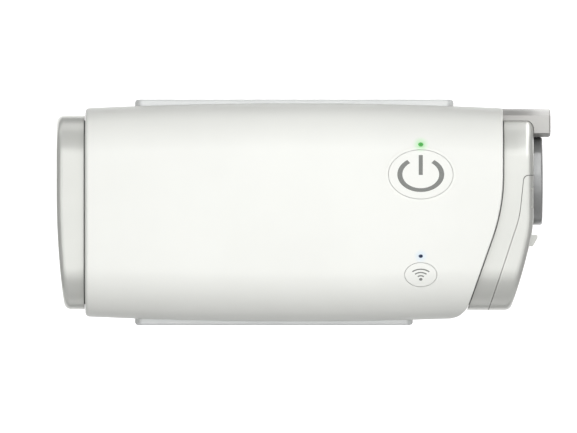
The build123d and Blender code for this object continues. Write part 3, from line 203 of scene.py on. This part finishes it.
frameNylon = grainedPlastic("moulded_grey_nylon", { # grey structural plastic that shows in the gaps
    "shader": {"IOR": 1.53},
    "colours": ("A2A4A3", "AAACAB"), "markSize": 15, "grainSize": 0.4,
    "roughness": (0.5, 0.6), "bump": 0.25, "grainDepth": 0.03})
blackPbt = grainedPlastic("moulded_black_pbt", {   # near-black connector plastic
    "shader": {"IOR": 1.57},
    "colours": ("17181A", "1E1F21"), "markSize": 6, "grainSize": 0.25,
    "roughness": (0.38, 0.48), "bump": 0.15, "grainDepth": 0.02})
feetRubber = grainedPlastic("moulded_rubber", {    # dull, almost no highlight
    "shader": {"IOR": 1.52, "Specular IOR Level": 0.3},
    "colours": ("2A2A2C", "333335"), "markSize": 8, "grainSize": 0.4,
    "roughness": (0.75, 0.88), "bump": 0.35, "grainDepth": 0.04})
sealSilicone = grainedPlastic("moulded_silicone", { # milky grey with a soft shine
    "shader": {"IOR": 1.41, "Subsurface Weight": 0.1},
    "colours": ("B9BDBD", "C4C7C7"), "markSize": 10, "grainSize": 0.5,
    "roughness": (0.42, 0.55), "bump": 0.15, "grainDepth": 0.02})
clearPolycarbonate = grainedPlastic("moulded_polycarbonate", { # frosted impeller plastic
    "shader": {"IOR": 1.58},
    "colours": ("D6DCDE", "DEE3E4"), "markSize": 12, "grainSize": 0.3,
    "roughness": (0.25, 0.35), "bump": 0.1, "grainDepth": 0.02})
solderMask = grainedPlastic("coated_board", {      # green lacquer over glass fibre
    "shader": {"IOR": 1.5},
    "colours": ("1C5A38", "226341"), "markSize": 4, "grainSize": 0.6,
    "roughness": (0.28, 0.4), "bump": 0.2, "grainDepth": 0.02})


metalGrain = {"bump": 0.1, "depth": 0.01}            # strength, and depth in mm


def metal(name, look):
    # bare or plated metal: fine brushing or grain in the roughness
    material, tree, principled = startMaterial(name, {"Metallic": 1.0})
    place = addNode(tree, "ShaderNodeTexCoord").outputs["Object"]
    stretched = addNode(tree, "ShaderNodeMapping", inputs={"Vector": place, "Scale": look["stretch"]})
    lines = addNode(tree, "ShaderNodeTexNoise", inputs={
        "Vector": stretched.outputs["Vector"], "Scale": 1 / (look["lineSize"] * mm), "Detail": 3.0})
    colour = addNode(tree, "ShaderNodeValToRGB", inputs={"Fac": lines.outputs["Fac"]},
                     stops=zip(noiseSpan, look["colours"])).outputs["Color"]
    rough = addNode(tree, "ShaderNodeMapRange", inputs={
        "Value": lines.outputs["Fac"], "To Min": look["roughness"][0], "To Max": look["roughness"][1]})
    bump = addNode(tree, "ShaderNodeBump", inputs={
        "Height": lines.outputs["Fac"], "Strength": metalGrain["bump"],
        "Distance": metalGrain["depth"] * mm})
    tree.links.new(colour, principled.inputs["Base Color"])
    tree.links.new(rough.outputs["Result"], principled.inputs["Roughness"])
    tree.links.new(bump.outputs["Normal"], principled.inputs["Normal"])
    return material


zincSteel = metal("plated_steel", {                # bright bluish plating on screws and shafts
    "colours": ("B9BDC1", "CDD0D3"), "stretch": (1, 1, 4), "lineSize": 0.4, "roughness": (0.22, 0.38)})
laminatedSteel = metal("stacked_steel", {          # darker, with the layers of the stack
    "colours": ("7D8084", "93969A"), "stretch": (0.2, 0.2, 6), "lineSize": 0.5, "roughness": (0.35, 0.5)})
sinteredMagnet = metal("sintered_magnet", {        # dark, finely speckled
    "colours": ("55575A", "66686B"), "stretch": (1, 1, 1), "lineSize": 0.2, "roughness": (0.4, 0.55)})
enamelledCopper = metal("enamelled_copper", {      # warm orange, with the turns of the wire
    "colours": ("9C5527", "C77A3E"), "stretch": (0.3, 0.3, 5), "lineSize": 0.35, "roughness": (0.2, 0.35)})
drawnAluminium = metal("drawn_aluminium", {        # pale shield cans and capacitor cups
    "colours": ("C9CBCD", "DADCDD"), "stretch": (4, 1, 1), "lineSize": 0.6, "roughness": (0.25, 0.4)})


def filterMaterial(name, look):
    # tangled fibres or open cells, drawn as coarse as they need to show
    material, tree, principled = startMaterial(name, look["shader"])
    place = addNode(tree, "ShaderNodeTexCoord").outputs["Object"]
    cells = addNode(tree, "ShaderNodeTexVoronoi", {"feature": "DISTANCE_TO_EDGE"}, {
        "Vector": place, "Scale": 1 / (look["cellSize"] * mm)})
    fibres = addNode(tree, "ShaderNodeTexNoise", inputs={
        "Vector": place, "Scale": 1 / (look["fibreSize"] * mm), "Detail": 4.0, "Distortion": 1.5})
    height = addNode(tree, "ShaderNodeMath", {"operation": "MULTIPLY"}, {
        0: cells.outputs["Distance"], 1: fibres.outputs["Fac"]})
    colour = addNode(tree, "ShaderNodeValToRGB", inputs={"Fac": fibres.outputs["Fac"]},
                     stops=zip(noiseSpan, look["colours"])).outputs["Color"]
    bump = addNode(tree, "ShaderNodeBump", inputs={
        "Height": height.outputs["Value"], "Strength": look["bump"], "Distance": look["depth"] * mm})
    tree.links.new(colour, principled.inputs["Base Color"])
    tree.links.new(bump.outputs["Normal"], principled.inputs["Normal"])
    return material


feltedFibre = filterMaterial("felted_fibre", {     # matt white pad with loose fibres
    "shader": {"Roughness": 0.95, "Specular IOR Level": 0.2, "Sheen Weight": 0.2},
    "colours": ("E4E6E4", "F2F3F1"), "cellSize": 0.9, "fibreSize": 0.5, "depth": 0.3, "bump": 0.8})
openFoam = filterMaterial("open_cell_foam", {      # dark sponge
    "shader": {"Roughness": 0.98, "Specular IOR Level": 0.15},
    "colours": ("2E3032", "444749"), "cellSize": 1.2, "fibreSize": 0.6, "depth": 0.5, "bump": 0.8})


def printedInk(name, look):
    # pad-printed ink: almost flat, with slightly uneven cover
    material, tree, principled = startMaterial(name, {"Roughness": 0.5, "IOR": 1.5})
    place = addNode(tree, "ShaderNodeTexCoord").outputs["Object"]
    cover = addNode(tree, "ShaderNodeTexNoise", inputs={
        "Vector": place, "Scale": 1 / (look["patchSize"] * mm), "Detail": 2.0})
    colour = addNode(tree, "ShaderNodeValToRGB", inputs={"Fac": cover.outputs["Fac"]},
                     stops=zip(look["span"], look["colours"])).outputs["Color"]
    tree.links.new(colour, principled.inputs["Base Color"])
    return material


greyInk = printedInk("printed_grey_ink", {
    "colours": ("7E807D", "868884"), "patchSize": 0.4, "span": (0.35, 0.65)})


def lampMaterial(name, look):
    # acrylic end of a light pipe, the first colour in its middle and the second towards its rim
    material, tree, principled = startMaterial(name, {"Roughness": 0.2, "IOR": 1.49})
    place = addNode(tree, "ShaderNodeTexCoord").outputs["Object"]
    away = addNode(tree, "ShaderNodeVectorMath", {"operation": "DISTANCE"}, {0: place, 1: look["place"]})
    core = addNode(tree, "ShaderNodeMapRange", inputs={
        "Value": away.outputs["Value"], "From Min": 0.0, "From Max": look["radius"] * mm,
        "To Min": 0.0, "To Max": 1.0})
    colour = addNode(tree, "ShaderNodeValToRGB", inputs={"Fac": core.outputs["Result"]},
                     stops=zip(look["span"], look["colours"])).outputs["Color"]
    tree.links.new(colour, principled.inputs["Base Color"])
    tree.links.new(colour, principled.inputs["Emission Color"])
    principled.inputs["Emission Strength"].default_value = look["strength"]
    return material


greenLamp = lampMaterial("lit_green_acrylic", {
    "place": powerLampEnd, "radius": 1.0, "strength": 0.2,
    "colours": ("3E9A40", "62BC60"), "span": (0.2, 1.0)})
blueLamp = lampMaterial("lit_blue_acrylic", {
    "place": connectLampEnd, "radius": 0.8, "strength": 0.03,
    "colours": ("121D38", "2A4068"), "span": (0.2, 1.0)})
print("materials made")

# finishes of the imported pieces
finishes = {
    whiteAbs: ["upper_casing", "lower_casing", "power_button", "connect_button"],
    gripTpe: ["rear_side_pad", "front_side_pad"],
    silverAbs: ["filter_cover", "outlet_end_cap", "outlet_face_panel", "cuff_catch"],
    collarAbs: ["outlet_collar", "outlet_port"],
    inletAbs: ["power_inlet_housing"],
    frameNylon: ["inlet_frame", "outlet_frame", "inlet_muffler", "volute_lower", "volute_upper",
                 "motor_cover"],
    blackPbt: ["power_inlet_insert", "board_connectors", "board_chips", "pressure_sensor", "power_switch",
               "connect_switch", "power_switch_stem", "connect_switch_stem", "motor_lead", "power_lead"],
    feetRubber: ["rubber_feet", "blower_mounts"],
    sealSilicone: ["filter_seal", "outlet_seal", "outlet_bellows", "sensor_seal"],
    clearPolycarbonate: ["impeller"],
    solderMask: ["main_board", "motor_board"],
    zincSteel: ["casing_screws", "volute_screws", "board_screws", "rotor_shaft", "shaft_bearings",
                "power_contacts", "flow_mesh"],
    laminatedSteel: ["stator_core"],
    sinteredMagnet: ["rotor_magnet"],
    enamelledCopper: ["stator_coils"],
    drawnAluminium: ["board_capacitors", "radio_module"],
    feltedFibre: ["air_filter"],
    openFoam: ["muffler_foam"],
    greenLamp: ["power_light_pipe", "power_led"],
    blueLamp: ["connect_light_pipe", "connect_led"],
}
for material, nodeNames in finishes.items():
    for nodeName in nodeNames:
        mesh = frame["nodes"][nodeName].data
        mesh.materials.clear()
        mesh.materials.append(material)
finishedCount = sum(len(nodeNames) for nodeNames in finishes.values())
print("finishes given to", finishedCount, "of", len(frame["nodes"]), "nodes")


def makeObject(name, mesh, material):
    # turns a bmesh into an object of the scene
    data = bpy.data.meshes.new(name)
    mesh.to_mesh(data)
    mesh.free()
    data.materials.append(material)
    made = bpy.data.objects.new(name, data)
    bpy.context.scene.collection.objects.link(made)
    return made


def makePiece(name, mesh, material, body):
    # a finished piece that rides on a body
    piece = makeObject(name, mesh, material)
    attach(piece, body)
    return piece


skinSetup = {"weldGap": 0.002, "sharpAngle": 35}     # mm between points that join, and degrees


def smoothSkin(nodeName, material):
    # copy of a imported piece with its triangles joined, so that round stretches shade smoothly
    source = frame["nodes"][nodeName]
    mesh = bmesh.new()
    mesh.from_mesh(source.data)
    bmesh.ops.remove_doubles(mesh, verts=mesh.verts, dist=skinSetup["weldGap"] * mm)
    for face in mesh.faces:
        face.smooth = True
    sharpFrom = radians(skinSetup["sharpAngle"])
    for edge in mesh.edges:
        edge.smooth = len(edge.link_faces) == 2 and edge.calc_face_angle(0) < sharpFrom
    piece = makePiece(nodeName + "_skin", mesh, material, source["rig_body"])
    weighted = piece.modifiers.new("evenShading", "WEIGHTED_NORMAL")
    weighted.keep_sharp = True
    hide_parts(nodeName)


for nodeName in ("upper_casing", "lower_casing", "power_button", "connect_button", "rear_side_pad",
                 "front_side_pad", "filter_cover", "outlet_end_cap", "outlet_face_panel", "outlet_collar",
                 "cuff_catch", "outlet_port", "power_inlet_housing", "outlet_seal"):
    smoothSkin(nodeName, frame["nodes"][nodeName].data.materials[0])
print("smooth skins made")


printSetup = {"gap": 0.004, "rayHeight": 10}         # mm under a print, and above the piece it is dropped on


def drapeOn(mesh, nodeName):
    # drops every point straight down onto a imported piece, and keeps its own height above the gap
    source = bmesh.new()
    source.from_mesh(frame["nodes"][nodeName].data)
    surface = BVHTree.FromBMesh(source)
    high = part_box(nodeName)[1].z + printSetup["rayHeight"] * mm
    for vert in mesh.verts:
        hit = surface.ray_cast(Vector((vert.co.x, vert.co.y, high)), Vector((0, 0, -1)))[0]
        if hit:
            vert.co.z += hit.z + printSetup["gap"] * mm
    source.free()


def ringStroke(mesh, radius, width, startAngle, sweepAngle, steps):
    # flat curved band made by spinning one edge
    ends = [mesh.verts.new((r * cos(startAngle), r * sin(startAngle), 0))
            for r in (radius - width / 2, radius + width / 2)]
    edge = mesh.edges.new(ends)
    bmesh.ops.spin(mesh, geom=ends + [edge], cent=(0, 0, 0), axis=(0, 0, 1), angle=sweepAngle,
                   steps=steps, use_merge=False, use_duplicate=False)


def barStroke(mesh, low, high, cuts):
    # flat upright bar, divided so that it can follow the surface below
    grid = bmesh.ops.create_grid(mesh, x_segments=2, y_segments=cuts, size=0.5)
    size = (high[0] - low[0], high[1] - low[1], 1)
    bmesh.ops.scale(mesh, vec=size, verts=grid["verts"])
    bmesh.ops.translate(mesh, vec=((low[0] + high[0]) / 2, (low[1] + high[1]) / 2, 0), verts=grid["verts"])


def finishPrint(mesh, place, nodeName, thickness):
    # moves a flat mark to its place, gives it the print's thickness and drapes it
    bmesh.ops.translate(mesh, vec=(place.x, place.y, 0), verts=mesh.verts)
    bmesh.ops.recalc_face_normals(mesh, faces=mesh.faces)
    for face in mesh.faces:
        if face.normal.z < 0:
            face.normal_flip()
    upper = bmesh.ops.extrude_face_region(mesh, geom=mesh.faces[:], use_keep_orig=True)
    top = [part for part in upper["geom"] if isinstance(part, bmesh.types.BMVert)]
    bmesh.ops.translate(mesh, vec=(0, 0, thickness), verts=top)
    drapeOn(mesh, nodeName)
    bmesh.ops.recalc_face_normals(mesh, faces=mesh.faces)


# power symbol on the large button, in mm
powerSign = {
    "width": 17.2, "height": 12.9,         # an oval like the button itself
    "sideStroke": 1.84, "ringSteps": 72,
    "gapAngle": 35,                        # degrees left open each side of the bar
    "barWidth": 1.5, "barLow": -0.2, "barHigh": 7.1, "barCuts": 8,
    "thickness": 0.03,
}
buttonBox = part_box("power_button")
buttonCentre = (buttonBox[0] + buttonBox[1]) / 2
mesh = bmesh.new()
strokeRadius = (powerSign["width"] - powerSign["sideStroke"]) / 2 * mm
ringStroke(mesh, strokeRadius, powerSign["sideStroke"] * mm, radians(90 + powerSign["gapAngle"]),
           radians(360 - 2 * powerSign["gapAngle"]), powerSign["ringSteps"])
bmesh.ops.scale(mesh, vec=(1, powerSign["height"] / powerSign["width"], 1), verts=mesh.verts)
barStroke(mesh, (-powerSign["barWidth"] / 2 * mm, powerSign["barLow"] * mm),
          (powerSign["barWidth"] / 2 * mm, powerSign["barHigh"] * mm), powerSign["barCuts"])
finishPrint(mesh, buttonCentre, "power_button", powerSign["thickness"] * mm)
makePiece("power_sign", mesh, greyInk, "power_button")

# three waves on the small button, the usual sign of a wireless link, in mm and degrees
waveSign = {
    "stroke": 0.42, "radii": (1.3, 2.5, 3.7), "opening": 84, "steps": 24, "dot": 0.5, "stretch": 1.25,
    "thickness": 0.03, "shift": -1.7,
}
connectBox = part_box("connect_button")
connectCentre = (connectBox[0] + connectBox[1]) / 2
mesh = bmesh.new()
for radius in waveSign["radii"]:
    ringStroke(mesh, radius * mm, waveSign["stroke"] * mm, radians(90 - waveSign["opening"] / 2),
               radians(waveSign["opening"]), waveSign["steps"])
bmesh.ops.create_circle(mesh, cap_ends=True, segments=waveSign["steps"], radius=waveSign["dot"] * mm)
bmesh.ops.translate(mesh, vec=(0, waveSign["shift"] * mm, 0), verts=mesh.verts)
bmesh.ops.scale(mesh, vec=(waveSign["stretch"], 1, 1), verts=mesh.verts)
finishPrint(mesh, connectCentre, "connect_button", waveSign["thickness"] * mm)
makePiece("wireless_sign", mesh, greyInk, "connect_button")
print("signs printed")

# floor and light
studio = {
    "floorSize": 3.0, "floorColour": "FAFAFA", "floorGlow": 0.9,
    "worldColour": "FFFFFF", "worldStrength": 0.28,
}
mesh = bmesh.new()
bmesh.ops.create_grid(mesh, x_segments=1, y_segments=1, size=studio["floorSize"])
floorMaterial = startMaterial("matt_floor", {
    "Base Color": hexColour(studio["floorColour"]), "Roughness": 0.9, "Specular IOR Level": 0.1,
    "Emission Color": hexColour(studio["floorColour"]), "Emission Strength": studio["floorGlow"]})[0]
floor = makeObject("studio_floor", mesh, floorMaterial)
floor.visible_glossy = False
floor.visible_diffuse = False
floor.visible_shadow = False

world = bpy.data.worlds.new("studio_world")
bpy.context.scene.world = world
world.use_nodes = True
background = world.node_tree.nodes["Background"]
background.inputs["Color"].default_value = hexColour(studio["worldColour"])
background.inputs["Strength"].default_value = studio["worldStrength"]

# lamps for the matt part of the light, each aimed at the middle of the footprint
softboxes = [
    {"name": "overheadSoftbox", "place": (0.0, 0.0, 0.5), "size": (0.5, 0.41), "power": 0.98},
    {"name": "rearSoftbox", "place": (0.03, 0.25, 0.4), "size": (0.5, 0.3), "power": 0.3},
    {"name": "frontSoftbox", "place": (0.0, -0.3, 0.4), "size": (0.5, 0.3), "power": 0.29},
    {"name": "nearSoftbox", "place": (0.02, 0.12, 0.24), "size": (0.34, 0.2), "power": 0.145},
    {"name": "lowBounce", "place": (0.0, 0.0, -0.5), "size": (1.2, 0.8), "power": 1.8},
]
for box in softboxes:
    light = bpy.data.lights.new(box["name"], "AREA")
    light.shape = "RECTANGLE"
    light.size, light.size_y = box["size"]
    light.energy = box["power"]
    lamp = bpy.data.objects.new(box["name"], light)
    bpy.context.scene.collection.objects.link(lamp)
    lamp.location = box["place"]
    aim = Vector((0, 0, 0)) - Vector(box["place"])
    lamp.rotation_euler = aim.to_track_quat("-Z", "Y").to_euler()
    lamp.visible_glossy = False


# cards round the machine that only its gloss sees, each from one angle to the next, in degrees:
# 0 is straight above and 90 at the rear. A card may have its own radius and span.
cardSetup = {"radius": 0.9, "span": (-1.2, 1.2), "centreZ": 0.026, "steps": 12}
cards = [
    {"name": "topCard", "angles": (-6, 18), "glow": 1.24},
    {"name": "topRearCard", "angles": (18, 30), "glow": 0.8},
    {"name": "rearUpperCard", "angles": (30, 80), "glow": 0.46},
    {"name": "rearHorizonCard", "angles": (80, 108), "glow": 0.93},
    {"name": "rearBlackCard", "angles": (108, 140), "glow": 0.3},
    {"name": "topFrontCard", "angles": (-30, -6), "glow": 0.84},
    {"name": "frontUpperCard", "angles": (-96, -30), "glow": 0.39},
    {"name": "frontHorizonCard", "angles": (-122, -96), "glow": 0.69},
    {"name": "frontBlackCard", "angles": (-140, -122), "glow": 0.28},
    {"name": "lowFrontCard", "angles": (-180, -140), "glow": 1.1},
    {"name": "lowRearCard", "angles": (140, 180), "glow": 1.6},
    {"name": "collarCard", "angles": (25, 135), "glow": 2.8, "radius": 0.06, "span": (0.085, 0.1)},
]


def reflectorCard(card):
    # curved strip along X, made by spinning one edge round the machine
    startAngle, endAngle = (radians(angle) for angle in card["angles"])
    start = Vector((0, sin(startAngle), cos(startAngle))) * card.get("radius", cardSetup["radius"])
    mesh = bmesh.new()
    ends = [mesh.verts.new((x, start.y, start.z + cardSetup["centreZ"]))
            for x in card.get("span", cardSetup["span"])]
    edge = mesh.edges.new(ends)
    bmesh.ops.spin(mesh, geom=ends + [edge], cent=(0, 0, cardSetup["centreZ"]), axis=(1, 0, 0),
                   angle=startAngle - endAngle, steps=cardSetup["steps"], use_merge=False,
                   use_duplicate=False)
    paper = startMaterial(card["name"] + "_paper", {
        "Base Color": hexColour("000000"), "Specular IOR Level": 0.0, "Roughness": 1.0,
        "Emission Color": hexColour("FFFFFF"), "Emission Strength": card["glow"]})[0]
    strip = makeObject(card["name"], mesh, paper)
    for ray in ("camera", "diffuse", "transmission", "volume_scatter", "shadow"):
        setattr(strip, "visible_" + ray, False)


for card in cards:
    reflectorCard(card)

view = bpy.context.scene.view_settings
view.view_transform = "Standard"
view.look = "None"
print("floor and light placed")
